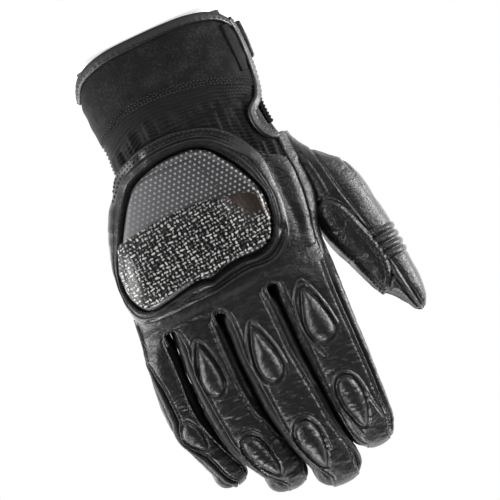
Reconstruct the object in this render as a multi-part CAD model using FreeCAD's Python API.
import FreeCAD, Part
import math, os

# Short-cuff riding glove for the right hand, as an assembly of sewn and moulded pieces.
# Frame: millimetres, +Z from the cuff opening to the fingertips, back of the hand towards -Y,
# palm towards +Y, thumb towards -X. Origin: centre of the cuff opening, on the plane the rim
# stands on. The pattern is drafted one size up, in pattern units; GRADE takes it to mm.
# Section angles are in degrees: 0 is the little-finger side (+X), 90 the back of the hand,
# 180 the thumb side, 270 the palm.

V = FreeCAD.Vector

# ---------------------------------------------------------------- driving dimensions
GRADE = 0.945          # pattern units to mm, for a men's L
LEATHER = 1.7          # outer leather with its backing
NEOPRENE = 3.0         # cuff foam sheet
LINING = 0.8           # knit lining
OVERLAY_GAP = 0.35     # clearance under the pieces that lie on the hand leather
FINGER_GAP = 0.45      # clearance from a finger joint to the panels on either side
REACH = 60             # cutting prisms reach this far, past the glove

EXP_CUFF = 2.5         # squareness of the sections: 2 is an ellipse, more is squarer
EXP_HAND = 2.8
EXP_FINGER = 2.5
EXP_THUMB = 2.3

# design travel of each fold, degrees
MCP_FLEX = 60.0        # knuckle
PIP_FLEX = 75.0        # middle joint
DIP_FLEX = 45.0        # end joint
THUMB_FLEX = 35.0
FOLD_SPARE = 2.0       # added to the half angle of every fold

# tube of the cuff and hand: z, left edge, right edge, dorsal depth, palmar depth, exponent
TUBE = [
    (0.0, -47.2, 46.8, 30.0, 30.0, EXP_CUFF),
    (10.0, -47.6, 47.2, 30.0, 30.0, EXP_CUFF),
    (22.0, -48.0, 47.6, 29.8, 29.6, EXP_CUFF),
    (36.0, -47.6, 47.4, 28.6, 28.2, EXP_CUFF),
    (50.0, -46.0, 47.0, 25.6, 25.4, EXP_CUFF),
    (62.0, -45.0, 47.4, 23.2, 23.4, 2.6),
    (72.0, -46.5, 51.5, 22.4, 22.6, 2.7),
    (84.0, -49.5, 58.5, 22.2, 22.4, EXP_HAND),
    (98.0, -51.0, 65.4, 22.4, 22.0, EXP_HAND),
    (112.0, -50.5, 69.4, 22.4, 21.0, EXP_HAND),
    (124.0, -47.5, 70.6, 21.8, 19.8, EXP_HAND),
    (136.0, -43.5, 70.8, 20.6, 18.2, EXP_HAND),
    (148.0, -42.0, 70.8, 18.8, 16.4, EXP_HAND),
    (158.0, -41.8, 72.0, 17.6, 15.0, EXP_HAND),
    (168.0, -41.6, 74.0, 16.6, 14.0, EXP_HAND),
]
SMOOTH_SHARE = 0.35    # share of smoothstep in the blend between rows, the rest is linear

# fingers: joint centres (knuckle, middle joint, end joint, tip), and at each of them the
# half width, dorsal depth and palmar depth
FINGERS = {
    "index": dict(
        joints=[(-23.4, -5.5, 160.0), (-22.7, -0.5, 203.0), (-22.2, 10.0, 232.0),
                (-22.5, 31.0, 259.0)],
        half=[17.4, 16.4, 14.6, 12.6],
        dorsal=[10.4, 10.2, 9.6, 8.6], palmar=[14.5, 10.2, 9.6, 8.6]),
    "middle": dict(
        joints=[(11.3, -7.5, 161.0), (11.1, -2.0, 209.0), (7.4, 9.5, 242.0), (1.0, 31.0, 270.0)],
        half=[15.4, 15.3, 14.0, 12.2],
        dorsal=[10.4, 10.3, 9.6, 8.6], palmar=[15.5, 10.3, 9.6, 8.6]),
    "ring": dict(
        joints=[(41.2, -6.2, 160.0), (42.2, -1.0, 205.0), (37.8, 10.0, 237.0),
                (28.6, 30.0, 260.5)],
        half=[12.9, 13.3, 13.2, 11.4],
        dorsal=[10.2, 10.0, 9.4, 8.4], palmar=[15.0, 10.0, 9.4, 8.4]),
    "little": dict(
        joints=[(65.2, -2.4, 157.0), (68.4, 2.5, 192.0), (64.2, 11.0, 221.0),
                (55.6, 27.0, 245.5)],
        half=[8.9, 9.4, 9.0, 7.6],
        dorsal=[9.6, 9.4, 9.0, 8.0], palmar=[12.5, 9.4, 9.0, 8.0]),
}


# ---------------------------------------------------------------- curves and solids
def pt(x, y, z):
    return V(x * GRADE, y * GRADE, z * GRADE)


def lerp(start, end, f):
    return start + (end - start) * f


def tan_deg(angle):
    return math.tan(math.radians(angle))


def spread(start, end, steps):
    return [start + (end - start) * i / steps for i in range(steps + 1)]


def spline(points):
    curve = Part.BSplineCurve()
    curve.interpolate(points)
    return curve.toShape()


def closed_wire(points):
    curve = Part.BSplineCurve()
    curve.interpolate(Points=points, PeriodicFlag=True)
    return Part.Wire([curve.toShape()])


def strip_wire(outer, inner):
    """Closed wire of two long curves and two short ends."""
    inner = inner[::-1]
    return Part.Wire([spline(outer), Part.makeLine(outer[-1], inner[0]),
                      spline(inner), Part.makeLine(inner[-1], outer[0])])


def loft(wires):
    solid = Part.makeLoft(wires, True, False).Solids[0]
    if solid.Volume < 0:
        solid.reverse()
    return solid


def extrude_y(wire, y0, y1):
    return Part.Face(wire).extrude(V(0, (y1 - y0) * GRADE, 0))


def smooth_prism(outline, y0, y1):
    """Closed smooth outline in X and Z, extruded from y0 to y1."""
    return extrude_y(closed_wire([pt(x, y0, z) for x, z in outline]), y0, y1)


def straight_prism(outline, y0, y1):
    """Polygon in X and Z, extruded from y0 to y1."""
    points = [pt(x, y0, z) for x, z in outline]
    return extrude_y(Part.makePolygon(points + [points[0]]), y0, y1)


def save(name, *shapes):
    """Write the solids of a part, without the slivers that booleans leave."""
    solids = [solid for shape in shapes for solid in shape.Solids if solid.Volume > 2.0]
    if not solids:
        raise RuntimeError(name + " has no solid")
    for solid in solids:
        if not solid.isValid():
            solid.fix(0.01, 0.001, 0.1)
    part = solids[0] if len(solids) == 1 else Part.makeCompound(solids)
    part.exportStep("parts/" + name + ".step")


# ---------------------------------------------------------------- sections of the tube
def tube_row(z):
    """Edges, depths and exponent of the tube at height z."""
    if z <= TUBE[0][0]:
        return TUBE[0][1:]
    for low, high in zip(TUBE, TUBE[1:]):
        if z <= high[0]:
            f = (z - low[0]) / (high[0] - low[0])
            f = f * f * (3 - 2 * f) * SMOOTH_SHARE + f * (1 - SMOOTH_SHARE)
            return tuple(lerp(p, q, f) for p, q in zip(low[1:], high[1:]))
    return TUBE[-1][1:]


def section_pt(half, dorsal, palmar, exponent, angle):
    """Point of a section at an angle, as (across, towards the palm)."""
    c, s = math.cos(math.radians(angle)), math.sin(math.radians(angle))
    across = half * math.copysign(abs(c) ** (2.0 / exponent), c)
    depth = abs(s) ** (2.0 / exponent)
    return across, (-dorsal * depth if s >= 0 else palmar * depth)


def tube_pt(z, angle, offset):
    left, right, dorsal, palmar, exponent = tube_row(z)
    across, y = section_pt((right - left) / 2.0 + offset, dorsal + offset, palmar + offset,
                           exponent, angle)
    return pt((right + left) / 2.0 + across, y, z)


def back_angle(z, x):
    """Angle on the back of the tube at height z where it reaches x."""
    left, right, _, _, exponent = tube_row(z)
    half = (right - left) / 2.0 + 0.3
    u = max(-0.999, min(0.999, (x - (right + left) / 2.0) / half))
    return math.degrees(math.acos(math.copysign(abs(u) ** (exponent / 2.0), u)))


def tube_strip(z, start, end, outer, inner, steps):
    angles = spread(start, end, steps)
    return strip_wire([tube_pt(z, a, outer) for a in angles],
                      [tube_pt(z, a, inner) for a in angles])


def tube_panel(stations, outer, inner, steps=None):
    """Panel on the tube. stations: (z, from angle, to angle). outer, inner: face offsets."""
    steps = steps or max(4, max(int(abs(end - start) / 10.0) for _, start, end in stations))
    return loft([tube_strip(z, start, end, outer, inner, steps) for z, start, end in stations])


def level(heights, start, end):
    """Stations that all have the same two angles."""
    return [(z, start, end) for z in heights]


def cuff_ring(offset):
    """The tube from the rim up, solid, at an offset."""
    return loft([closed_wire([tube_pt(z, i * 10.0, offset) for i in range(36)])
                 for z in (0.0, 12.0, 24.0)])


os.makedirs("parts", exist_ok=True)

# ---------------------------------------------------------------- cuff (stands still)
# rim in x and z: flat over its middle, turned up at both sides
RIM = [(-60, 90), (-60, 60), (-49.4, 30), (-47.6, 14.5), (-43.5, 6.2), (-36, 1.9), (-27, 0.0),
       (27, 0.0), (36, 1.6), (43, 5.6), (47, 12.5), (49.4, 30), (60, 60), (60, 90)]
# upper edge of the neoprene in x and z: lowest over the middle of the back
BACK_EDGE = [(60, 47), (46, 42.5), (35, 37.5), (22, 33.6), (10, 32.6), (-4, 33.8),
             (-20, 38.0), (-34, 44.5), (-46, 51), (-60, 56)]
PANEL_INSET = 1.7      # sheet edge from the rim, inside the binding
BINDING_WIDTH = 5.2
SLOT_INSET = 1.35      # slot in the binding from the rim
SLOT_CLEARANCE = 0.18
FLAP_INSET = 5.7       # flap pieces from the rim, clear of the binding
CUFF_LINING_FACE = -NEOPRENE - 0.55


def rim_prism(inset):
    """Everything above the rim line, moved in by an inset. The side ends stay put."""
    outline = []
    for x, z in RIM:
        if z < 59:
            turn = min(1.0, max(0.0, (z - 1) / 14.0))
            x -= math.copysign(inset * turn * 0.9, x)
            z += inset * (1.0 - 0.62 * turn)
        outline.append((x, z))
    return straight_prism(outline, -REACH, REACH)


def trimmed(shape, inset):
    return shape.common(rim_prism(inset))


def below_back_edge(lift, bottom, y1):
    outline = [(-60, bottom), (60, bottom)] + [(x, z + lift) for x, z in BACK_EDGE]
    return smooth_prism(outline, -REACH, y1)


back_panel = tube_panel(level((0.2, 12, 26), -18, 176.5) + [(40, -18, 176), (52, -18, 172)],
                        outer=0.0, inner=-NEOPRENE)
save("cuff_back_panel", trimmed(back_panel, PANEL_INSET).common(below_back_edge(0, -20, 10)))

palm_panel = tube_panel(level((0.2, 12, 26), 183.5, 341) + [(38, 184, 341), (45, 186, 341)],
                        outer=0.0, inner=-2.2)
save("cuff_palm_panel", trimmed(palm_panel, PANEL_INSET))

# folded leather binding round the rim, a channel that holds the sheet's edge
binding = cuff_ring(1.2).cut(cuff_ring(-NEOPRENE - 1.1))
slot = cuff_ring(SLOT_CLEARANCE).cut(cuff_ring(-NEOPRENE - SLOT_CLEARANCE))
binding = trimmed(binding, 0.0).cut(rim_prism(BINDING_WIDTH))
save("cuff_rim_binding", binding.cut(trimmed(slot, SLOT_INSET)))

# binding up the thumb-side edge of the back flap
flap_edge = tube_panel([(18.5, 168, 176.5), (26, 168, 176.5), (36, 168, 176.3), (46, 164, 173)],
                       outer=1.6, inner=0.3, steps=3)
save("flap_edge_binding", trimmed(flap_edge, FLAP_INSET))

# stitched stay along the flap edge
stay = tube_panel(level((15.5, 24, 33, 41), 150.5, 160.5), outer=1.3, inner=0.3, steps=4)
save("flap_stay", trimmed(stay, FLAP_INSET))

save("loop_patch", tube_panel(level((15, 24, 33), 222, 306), outer=1.1, inner=0.3))

cuff_lining = tube_panel(level((5.5, 16, 26, 36, 44), 10, 352), outer=CUFF_LINING_FACE,
                         inner=CUFF_LINING_FACE - LINING, steps=36)
save("cuff_lining", trimmed(cuff_lining, 5.8))

# elastic round the wrist, back and palm; the back one starts just above the neoprene
back_elastic = tube_panel(
    [(33.5, -15, 173), (42, -15, 172), (50, -15, 166), (57, -12, 150), (65.5, -10, 143)],
    outer=-0.35, inner=-1.9)
save("wrist_elastic_back", back_elastic.cut(below_back_edge(1, -40, 20)))
save("wrist_elastic_palm", tube_panel(
    [(46, 190, 341), (52, 192, 343), (58, 194, 345), (65.5, 194, 347)], outer=-0.3, inner=-1.8))

# ---------------------------------------------------------------- closure strap (opens)
save("closure_strap", tube_panel(
    [(13, 187, 292), (20, 187, 296), (28, 187, 296), (35, 187, 292)], outer=3.8, inner=2.1))
save("hook_patch", tube_panel(level((15, 24, 33), 224, 290), outer=1.95, inner=1.25))
save("strap_pull_tab", tube_panel(
    [(15.5, 297.5, 308), (20, 298.5, 310), (28, 298.5, 310), (32.5, 297.5, 308)],
    outer=4.2, inner=1.9))

# ---------------------------------------------------------------- hand
# the upper edge runs just under the knuckle folds, lower at the little finger
BELOW_KNUCKLES = [(-90, 40), (110, 40), (110, 155.9), (57.4, 155.9), (55.4, 159.3),
                  (-90, 159.3)]
# panel stations: z, from angle, to angle
HAND_BACK = [(67.5, 6, 140), (76, 6, 147), (88, 5, 146), (100, 5, 144), (112, 5, 143),
             (124, 5, 143), (136, 5, 144), (147, 5, 146), (160, 5, 148)]
HAND_PALM = [(67.5, 196, 362), (76, 200, 362), (88, 214, 362), (100, 220, 362),
             (112, 220, 362), (124, 213, 362), (133, 196, 362), (142, 183, 362),
             (149.5, 183, 362)]
GUSSET = [(83, 150, 172), (92, 149, 172), (104, 147.5, 172), (116, 146.5, 171),
          (126, 146.5, 170), (136, 147.5, 176), (147, 149.5, 178), (159.3, 151.5, 178)]
LINING_BACK = [(69, 8, 138), (80, 8, 142), (95, 8, 141), (110, 8, 140), (125, 8, 140),
               (140, 8, 141), (150, 8, 142)]
LINING_PALM = [(69, 222, 360), (80, 228, 360), (95, 232, 360), (110, 232, 360),
               (125, 228, 360), (140, 210, 360), (147, 205, 360)]
# binding round the wrist notch: z, from angle, to angle, steps across
NOTCH = [(53.5, 148, 162, 4), (58, 139, 149, 3), (64, 134, 144, 3), (70, 134, 144, 3),
         (76, 140, 152, 3), (80.5, 150, 164, 4)]
HAND_LINING_FACE = -LEATHER - 0.9


def leather_panel(stations, steps):
    return tube_panel(stations, outer=0.0, inner=-LEATHER, steps=steps)


def hand_lining(stations, steps):
    return tube_panel(stations, HAND_LINING_FACE, HAND_LINING_FACE - LINING, steps)


save("hand_back_leather",
     leather_panel(HAND_BACK, 20).common(straight_prism(BELOW_KNUCKLES, -REACH, REACH)))
save("side_gusset", leather_panel(GUSSET, 6))
save("hand_palm_leather", leather_panel(HAND_PALM, 22))
save("wrist_notch_binding", loft(
    [tube_strip(z, start, end, 2.0, 0.65, steps) for z, start, end, steps in NOTCH]))
save("hand_lining", hand_lining(LINING_BACK, 18), hand_lining(LINING_PALM, 20))

# palm reinforcements
save("palm_heel_pad", tube_panel(
    [(72, 288, 326), (80, 286, 338), (92, 285, 342), (103, 288, 338), (110, 294, 326)],
    outer=2.8, inner=OVERLAY_GAP, steps=12))
save("palm_grip_patch", tube_panel(
    [(118, 232, 330), (126, 226, 336), (136, 222, 340), (143, 220, 340)],
    outer=1.5, inner=OVERLAY_GAP, steps=16))

# ---------------------------------------------------------------- knuckle guard
# padded leather surround, foam, lower plate and raised shell
# outer and inner outline of the surround, in x and z
GUARD_OUTER = [
    (-31, 88), (-27, 78), (-20, 68), (-12, 61.5), (0, 57), (12, 55), (25, 55.5), (35, 58),
    (45, 63), (50, 69), (56, 79), (62, 91), (65.8, 101), (68.4, 111), (69.3, 123), (69, 134),
    (66, 142), (58, 145.5), (48, 146), (36, 146), (24, 145.5), (12, 144), (0, 142.5),
    (-10, 143), (-19, 141), (-25, 135), (-29, 126), (-31.5, 113), (-32, 100)]
GUARD_INNER = [
    (-23, 107), (-21, 99), (-17.5, 90), (-13, 82), (-8, 75), (-2, 70), (6, 67), (15, 66.2),
    (25, 67), (34, 70), (42, 75), (48, 82), (54, 91), (59, 100), (63.4, 109), (65.6, 118),
    (65.2, 127), (62, 135), (56, 138.4), (46, 138), (36, 136.5), (28, 136), (20, 137),
    (10, 134.5), (2, 133.5), (-6, 134.2), (-13, 132), (-18.5, 127), (-22, 118)]
GUARD_LEFT, GUARD_RIGHT = -34.0, 69.6
INSERT_GAP = 0.9       # from the surround to the pieces inside it
# raised shell: z, left x, right x
SHELL = [(100.4, -20.2, 57.4), (105, -21.2, 60.2), (111, -21.4, 62.8), (118, -20.8, 64.6),
         (125, -20.2, 65.0), (132, -20.0, 65.0), (139.5, -20.0, 64.5)]
SHELL_EDGE = 6.4       # height of the shell at its edge
SHELL_RISE = 5.6       # extra height at its crown
SHELL_WALL = 2.4


def guard_prism(outline):
    return smooth_prism(outline, -REACH, 6)


def shrunk(outline, gap):
    """Outline drawn in towards its mean point by about gap."""
    mid_x = sum(x for x, _ in outline) / len(outline)
    mid_z = sum(z for _, z in outline) / len(outline)
    return [(x + (mid_x - x) * gap / 44.0, z + (mid_z - z) * gap / 34.0) for x, z in outline]


def guard_layer(outer, inner, heights):
    stations = []
    for z in heights:
        left, right = tube_row(z)[:2]
        stations.append((z, back_angle(z, min(GUARD_RIGHT, right - 0.7)),
                         back_angle(z, max(GUARD_LEFT, left + 4))))
    return tube_panel(stations, outer, inner, 20)


def shell_height(x, z):
    """Height of the shell above the tube, falling off to the sides and to both ends."""
    ramp = 0.75 + 0.25 * max(0.0, min(1.0, (z - 100.0) / 10.0))
    top = 1.0 - max(0.0, (z - 112.0) / 30.0) ** 2
    side = 1.0 - abs((x - 21.0) / 47.0) ** 3
    return SHELL_EDGE + SHELL_RISE * max(0.0, side) * max(0.0, top) * ramp


def shell_loft(stations, steps, outer, inner):
    """stations: (z, left x, right x). outer, inner: face offsets from the shell height."""
    wires = []
    for z, left, right in stations:
        outer_points, inner_points = [], []
        for angle in spread(back_angle(z, right), back_angle(z, left), steps):
            height = shell_height(tube_pt(z, angle, 0).x / GRADE, z)
            outer_points.append(tube_pt(z, angle, outer(height)))
            inner_points.append(tube_pt(z, angle, inner(height)))
        wires.append(strip_wire(outer_points, inner_points))
    return loft(wires)


INSERT = shrunk(GUARD_INNER, INSERT_GAP)

surround = guard_layer(4.4, OVERLAY_GAP, [54.5, 60, 67, 76, 88, 100, 112, 124, 136, 146.5])
save("guard_surround", surround.common(guard_prism(GUARD_OUTER)).cut(guard_prism(GUARD_INNER)))

foam = guard_layer(3.0, OVERLAY_GAP, [64.5, 70, 76, 88, 100, 112, 124, 136, 141])
save("guard_foam", foam.common(guard_prism(INSERT)))

lower_plate = guard_layer(6.0, 3.35, [64.5, 70, 76, 88, 99.5])
save("guard_lower_plate", lower_plate.common(guard_prism(INSERT)))

shell = shell_loft(SHELL, 16, outer=lambda height: height,
                   inner=lambda height: max(3.3, height - SHELL_WALL))
save("guard_raised_shell", shell.common(guard_prism(INSERT)))

# air intake screen under the shell's cuff-side edge, just past the lower plate
save("intake_screen", shell_loft([(101.5, -4, 50), (103.2, -4, 50)], 12,
                                 outer=lambda height: height - SHELL_WALL - 0.35,
                                 inner=lambda height: 3.35))


# ---------------------------------------------------------------- sections of fingers and thumb
def axes_along(direction):
    """Unit vectors along a finger, across it (little-finger side) and towards the palm."""
    along = V(*direction)
    along.normalize()
    across = V(0, 1, 0).cross(along)
    across.normalize()
    palmward = along.cross(across)
    palmward.normalize()
    return along, across, palmward


def limb_pt(centre, axes, x, y, shift=0.0):
    """Point at x across, y towards the palm and shift along."""
    along, across, palmward = axes
    return (centre + across * x + palmward * y + along * shift) * GRADE


def limb_strip(centre, axes, sizes, exponent, angles, thickness, shear=(0.0, 0.0)):
    """Strip section of a panel. sizes: half width, dorsal and palmar depth.
    shear: shift along the limb, as a constant and a slope towards the palm."""
    faces = []
    for inset in (0.0, thickness):
        face = []
        for angle in angles:
            x, y = section_pt(*[size - inset for size in sizes], exponent, angle)
            face.append(limb_pt(centre, axes, x, y, shear[0] + shear[1] * y))
        faces.append(face)
    return strip_wire(*faces)


# ---------------------------------------------------------------- fingers
BACK_SLOPE = tan_deg(1.2)              # the folds close straight at the back
BACK_END = (FINGER_GAP, -BACK_SLOPE)
SIDE_SHARE = 0.55                      # slope of the side panels, as a share of the palm's
# fingertip cap: place along it, scale of the section
CAP = [(0.0, 1.0), (0.3, 0.985), (0.55, 0.93), (0.75, 0.80), (0.89, 0.60), (0.97, 0.36),
       (1.0, 0.17)]


def bone(finger, k):
    """Start, axes and length of phalanx k."""
    start, end = finger["joints"][k:k + 2]
    run = [q - p for p, q in zip(start, end)]
    return V(*start), axes_along(run), V(*run).Length


def bend(finger, k):
    """Angle between phalanx k-1 and k at rest, degrees."""
    return math.degrees(bone(finger, k - 1)[1][0].getAngle(bone(finger, k)[1][0]))


def between(finger, key, k, f):
    return lerp(finger[key][k], finger[key][k + 1], f)


def finger_panel(finger, k, angle0, angle1, start, end, steps=None):
    """Panel of phalanx k. start and end: shear at its two ends."""
    origin, axes, length = bone(finger, k)
    angles = spread(angle0, angle1, steps or max(4, int(abs(angle1 - angle0) / 14.0)))
    wires = []
    for f in (0.0, 0.5, 1.0):
        # the deep palm side of the base thins quickly past the knuckle
        palm_f = f if k else f ** 0.6
        sizes = (between(finger, "half", k, f), between(finger, "dorsal", k, f),
                 between(finger, "palmar", k, palm_f))
        shear = (lerp(start[0], end[0], f), lerp(start[1], end[1], f))
        wires.append(limb_strip(origin + axes[0] * (length * f), axes, sizes, EXP_FINGER,
                                angles, LEATHER, shear))
    return loft(wires)


def side_end(slope, dorsal):
    """Shear at the start of a side panel, set back to clear the palm fold."""
    side_slope = SIDE_SHARE * slope
    return FINGER_GAP + side_slope * dorsal * 0.82, side_slope


def far(shear):
    """The same shear, mirrored for the far end of a panel."""
    return -shear[0], -shear[1]


def tip_body(finger, slope, wall, stop):
    """Solid fingertip, thinner by wall and ending stop short of the tip."""
    origin, axes, length = bone(finger, 2)
    wires = []
    for f, scale in CAP:
        inset = wall * min(1.0, 2 * scale)
        half = max(between(finger, "half", 2, f) * scale - inset, 0.5)
        depth = max(between(finger, "dorsal", 2, f) * scale - inset, 0.5)
        offset = (FINGER_GAP + slope * finger["dorsal"][2] * 0.86) * (1 - f)
        points = []
        for i in range(20):
            x, y = section_pt(half, depth, depth, EXP_FINGER, i * 18.0)
            points.append(limb_pt(origin + axes[0] * (f * (length - stop)), axes, x, y,
                                  offset + slope * (1 - f) * y))
        wires.append(closed_wire(points))
    return loft(wires)


def build_finger(name, finger):
    dorsal = finger["dorsal"]
    tilt = math.degrees(bone(finger, 0)[1][0].getAngle(V(0, 0, 1)))
    mcp_slope = tan_deg((MCP_FLEX + tilt) / 2 + FOLD_SPARE)
    pip_slope = tan_deg((PIP_FLEX + bend(finger, 1)) / 2 + FOLD_SPARE)
    dip_slope = tan_deg((DIP_FLEX + bend(finger, 2)) / 2 + FOLD_SPARE)

    for k, part in enumerate(("_base_back", "_mid_back")):
        save(name + part, finger_panel(finger, k, 36, 144, BACK_END, far(BACK_END)))
    save(name + "_base_palm", finger_panel(finger, 0, 216, 324, (FINGER_GAP, mcp_slope),
                                           far((FINGER_GAP, pip_slope))))
    pip_end = side_end(pip_slope, dorsal[1])
    side_ends = side_end(mcp_slope, dorsal[0]), far(pip_end)
    save(name + "_fourchettes", finger_panel(finger, 0, -34, 34, *side_ends),
         finger_panel(finger, 0, 146, 214, *side_ends))
    # palm and both sides of the middle length in one wrap
    save(name + "_mid_wrap", finger_panel(finger, 1, 146, 394, pip_end,
                                          far(side_end(dip_slope, dorsal[2])), steps=18))
    # fingertip cap: one hollow moulded wrap
    tip_slope = SIDE_SHARE * dip_slope
    save(name + "_tip_cap", tip_body(finger, tip_slope, 0.0, 0.0).cut(
        tip_body(finger, tip_slope, LEATHER, 2.0)))


for name, finger in FINGERS.items():
    build_finger(name, finger)

# padded bumps on the finger backs: teardrops, narrow towards the hand
# base pad, then joint pad: distance along the phalanx, centre across, half width, height
PADS = {
    "index": ([(3, 2.5, 1.2, 0.5), (10, 2.6, 4.6, 1.8), (18, 2.8, 7.0, 2.8),
               (26, 2.4, 7.2, 2.6), (32.5, 2.0, 4.6, 1.0)],
              [(14.5, 3.2, 3.2, 1.0), (20, 2.8, 5.6, 2.4), (26, 2.6, 5.9, 2.4),
               (29.5, 2.6, 5.4, 1.9)]),
    "middle": ([(12, 1.9, 1.2, 0.5), (19, 2.2, 4.2, 1.8), (26, 2.4, 6.0, 2.7),
                (33, 2.4, 5.8, 2.3), (38.5, 2.4, 3.8, 0.9)],
               [(22, 1.6, 2.8, 1.0), (27, 1.4, 5.0, 2.2), (32, 1.2, 5.2, 2.2)]),
    "ring": ([(6.5, 3.6, 1.2, 0.5), (13, 3.6, 4.0, 1.8), (20, 3.4, 5.6, 2.7),
              (27, 3.2, 5.4, 2.3), (32, 3.0, 3.6, 0.9)],
             [(20.5, 1.2, 2.8, 1.0), (25.5, 0.8, 4.9, 2.2), (30.5, 0.4, 5.0, 2.2)]),
}
PAD_GAP = 0.3          # from the finger back to the pad
PAD_EDGE = 0.25        # thickness of a pad at its sides


def finger_pad(finger, k, stations):
    origin, axes, length = bone(finger, k)
    wires = []
    for distance, centre_x, half_width, height in stations:
        f = distance / length
        half = between(finger, "half", k, f) + PAD_GAP
        dorsal = between(finger, "dorsal", k, f) + PAD_GAP
        centre = origin + axes[0] * distance
        top, bottom = [], []
        for i in range(11):
            side = i / 5.0 - 1.0
            x = centre_x + half_width * side
            y = -dorsal * (1 - abs(x / half) ** EXP_FINGER) ** (1 / EXP_FINGER)
            thickness = PAD_EDGE + height * (1 - abs(side) ** 2.2)
            bottom.append(limb_pt(centre, axes, x, y))
            top.append(limb_pt(centre, axes, x, y - thickness))
        wires.append(strip_wire(top, bottom))
    return loft(wires)


for name, pads in PADS.items():
    for k, part in enumerate(("_base_pad", "_joint_pad")):
        save(name + part, finger_pad(FINGERS[name], k, pads[k]))

# ---------------------------------------------------------------- thumb
# sections from the root up: centre, direction, half width, dorsal depth, palmar depth
THUMB_BASE = [
    ((-53.2, 2.0, 106.0), (-0.97, 0.05, 0.24), 22.0, 15.0, 16.5),
    ((-58.6, 4.5, 114.5), (-0.72, 0.12, 0.68), 19.0, 15.2, 16.2),
    ((-61.2, 7.0, 127.0), (-0.33, 0.14, 0.93), 17.4, 14.6, 15.4),
    ((-63.4, 9.0, 141.0), (-0.20, 0.14, 0.97), 16.9, 13.8, 14.4),
    ((-66.3, 11.0, 155.0), (-0.22, 0.12, 0.97), 16.4, 13.2, 13.4),
]
THUMB_TIP = [
    ((-67.6, 11.8, 161.5), (-0.22, 0.10, 0.97), 16.0, 13.0, 13.0),
    ((-70.2, 13.2, 173.0), (-0.22, 0.08, 0.97), 14.4, 12.0, 12.0),
    ((-72.6, 14.2, 184.0), (-0.18, 0.06, 0.98), 11.4, 10.2, 10.2),
    ((-74.6, 14.8, 192.5), (-0.16, 0.04, 0.99), 7.8, 7.4, 7.4),
    ((-75.7, 15.0, 198.0), (-0.14, 0.02, 0.99), 3.4, 3.4, 3.4),
]
# the thumb folds at the pleats: pivot, direction of the thumb, direction it closes in
THUMB_PIVOT = V(-66.9, 11.4, 158.2)
THUMB_ALONG = V(-0.22, 0.11, 0.97)
THUMB_CLOSING = V(0.8, 0.6, 0.11)
WEDGE_REACH = 45
PLEAT_COUNT, PLEAT_START, PLEAT_PITCH = 4, 149.2, 4.6
PLEAT_HALF = 1.5       # half height of a pleat
PLEAT_LEAN = -0.22     # x per z along the thumb


def thumb_panel(rows, start, end, thickness=LEATHER, offset=0.0, steps=12):
    return loft([limb_strip(V(*centre), axes_along(direction), [size + offset for size in sizes],
                            EXP_THUMB, spread(start, end, steps), thickness)
                 for centre, direction, *sizes in rows])


def thumb_wedge():
    """Wedge cut out of the thumb so that it can fold, with its point at the pivot."""
    along = V(THUMB_ALONG)
    along.normalize()
    axis = along.cross(THUMB_CLOSING)
    axis.normalize()
    closing = axis.cross(along)
    end = THUMB_PIVOT - axis * WEDGE_REACH
    mouth = end + closing * WEDGE_REACH
    half = along * (WEDGE_REACH * tan_deg(THUMB_FLEX / 2.0 + FOLD_SPARE))
    corners = [c * GRADE for c in (end - closing * 1.0, mouth + half, mouth - half)]
    face = Part.Face(Part.makePolygon(corners + [corners[0]]))
    return face.extrude(axis * (2 * WEDGE_REACH) * GRADE)


def thumb_pleat(z):
    low, high = THUMB_BASE[3:5] if z <= THUMB_BASE[4][0][2] else (THUMB_BASE[4], THUMB_TIP[0])
    f = (z - low[0][2]) / (high[0][2] - low[0][2])
    centre, direction = [[lerp(p, q, f) for p, q in zip(low[i], high[i])] for i in (0, 1)]
    sizes = [lerp(p, q, f) for p, q in zip(low[2:], high[2:])]
    rows = [((centre[0] + PLEAT_LEAN * rise, centre[1], centre[2] + rise), direction, *sizes)
            for rise in (-PLEAT_HALF, 0.0, PLEAT_HALF)]
    return thumb_panel(rows, 112, 196, offset=2.0, steps=8)


WEDGE = thumb_wedge()
for part, rows in (("thumb_base", THUMB_BASE), ("thumb_tip", THUMB_TIP)):
    save(part + "_back", thumb_panel(rows, 4, 176).cut(WEDGE))
    save(part + "_palm", thumb_panel(rows, 184, 356).cut(WEDGE))
save("thumb_side_patch",
     thumb_panel(THUMB_BASE[2:], 24, 78, thickness=1.2, offset=1.5, steps=6).cut(WEDGE))
save("thumb_pleats", *[thumb_pleat(PLEAT_START + PLEAT_PITCH * i) for i in range(PLEAT_COUNT)])
